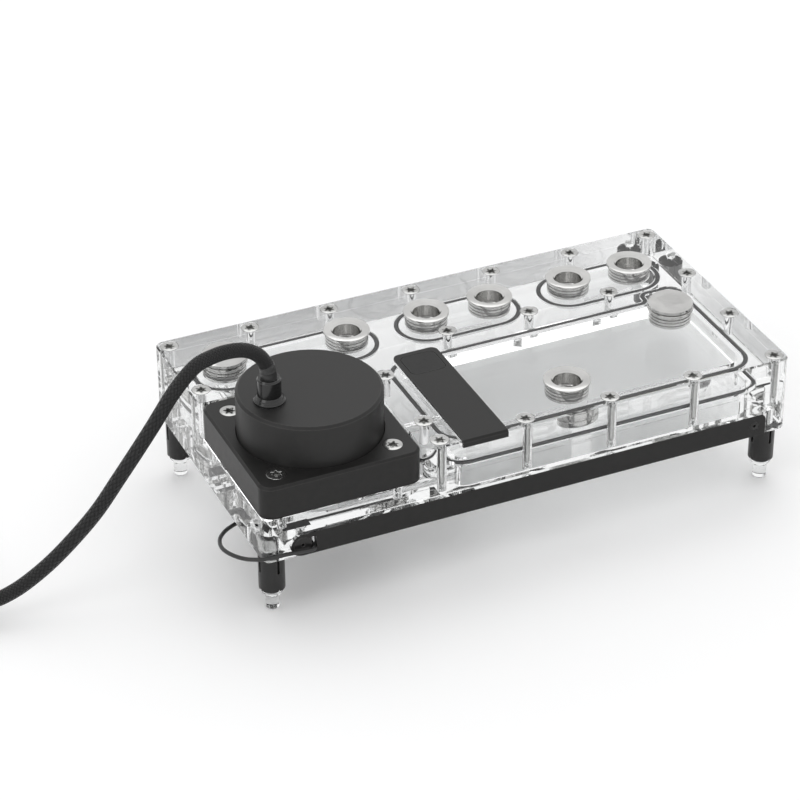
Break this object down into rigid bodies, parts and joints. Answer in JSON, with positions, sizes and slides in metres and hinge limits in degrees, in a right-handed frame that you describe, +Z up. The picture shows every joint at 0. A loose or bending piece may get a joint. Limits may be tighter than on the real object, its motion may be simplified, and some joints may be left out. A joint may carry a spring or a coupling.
{
  "type": "coolant pump reservoir",
  "caption": "Flat clear reservoir and distribution plate for liquid cooling, with a round black pump on one corner, threaded ports and four legs.",
  "frame": {"origin": "on the floor, midway between the four feet", "axes": "+X along the plates away from the pump, +Y towards the row of ports at the back, +Z up out of the ports"},
  "size_m": [0.4213, 0.1246, 0.1099],
  "materials": {
    "clear_acrylic": "polished clear acrylic",
    "seal_rubber": "matte",
    "steel": "bright",
    "nickel": "polished",
    "black_aluminium": "satin black anodised",
    "black_cover": "satin black",
    "motor_plastic": "satin",
    "ceramic": "polished ceramic",
    "stator_steel": "laminated",
    "copper": "enamelled wire",
    "board": "satin solder mask",
    "lead_rubber": "satin",
    "magnet": "nickel plated",
    "impeller_plastic": "satin",
    "gland_black": "gloss",
    "cable_sleeve": "braided sleeve",
    "tie_fabric": "hook and loop",
    "plug_plastic": "satin",
    "badge_black": "satin black",
    "led_white": "white",
    "black_steel": "satin black",
    "leg_black": "satin",
    "clear_foot": "clear plastic"
  },
  "bodies": {
    "reservoir": {"base_plate": "clear_acrylic", "top_plate": "clear_acrylic", "reservoir_seal": "seal_rubber", "left_channel_seal": "seal_rubber", "middle_channel_seal": "seal_rubber", "right_channel_seal": "seal_rubber", "plate_screws": "steel", "port_insert_1": "nickel", "port_insert_2": "nickel", "port_insert_3": "nickel", "port_insert_4": "nickel", "port_insert_5": "nickel", "port_insert_6": "nickel", "fill_port_insert": "nickel", "vent_port_insert": "nickel", "pump_bracket": "black_aluminium", "bracket_screws": "steel", "pump_cover": "black_cover", "pump_seal": "seal_rubber", "motor_can": "motor_plastic", "bearing_ball": "ceramic", "stator_core": "stator_steel", "stator_coils": "copper", "driver_board": "board", "board_lead": "lead_rubber", "cable_gland": "gland_black", "gland_nut": "gland_black", "pump_cable": "cable_sleeve", "pump_cable_coil": "cable_sleeve", "cable_tie": "tie_fabric", "cable_plug": "plug_plastic", "plate_magnets": "magnet", "light_bar": "black_aluminium", "led_strip": "led_white", "bar_screws": "black_steel", "light_lead": "lead_rubber", "lead_connector": "plug_plastic", "leg_front_left": "leg_black", "leg_front_right": "leg_black", "leg_back_left": "leg_black", "leg_back_right": "leg_black", "foot_front_left": "clear_foot", "foot_front_right": "clear_foot", "foot_back_left": "clear_foot", "foot_back_right": "clear_foot", "leg_studs": "steel"},
    "impeller": {"rotor_magnet": "magnet", "impeller": "impeller_plastic"},
    "cover_strip": {"cover_strip": "black_aluminium", "badge_plate": "badge_black", "strip_magnets": "magnet"},
    "fill_plug": {"fill_plug": "nickel", "fill_plug_seal": "seal_rubber"},
    "vent_plug": {"vent_plug": "nickel", "vent_plug_seal": "seal_rubber"}
  },
  "joints": [
    {"name": "impeller_spin", "type": "hinge", "parent": "reservoir", "child": "impeller", "pos_m": [-0.0836, -0.0261, 0.0488], "axis": [0, 0, 1], "continuous": true},
    {"name": "cover_strip_lift", "type": "slide", "parent": "reservoir", "child": "cover_strip", "axis": [0, 0, 1], "range_m": [0, 0.025]},
    {"name": "fill_plug_lift", "type": "slide", "parent": "reservoir", "child": "fill_plug", "axis": [0, 0, 1], "range_m": [0, 0.024]},
    {"name": "vent_plug_lift", "type": "slide", "parent": "reservoir", "child": "vent_plug", "axis": [0, 0, 1], "range_m": [0, 0.024]}
  ]
}
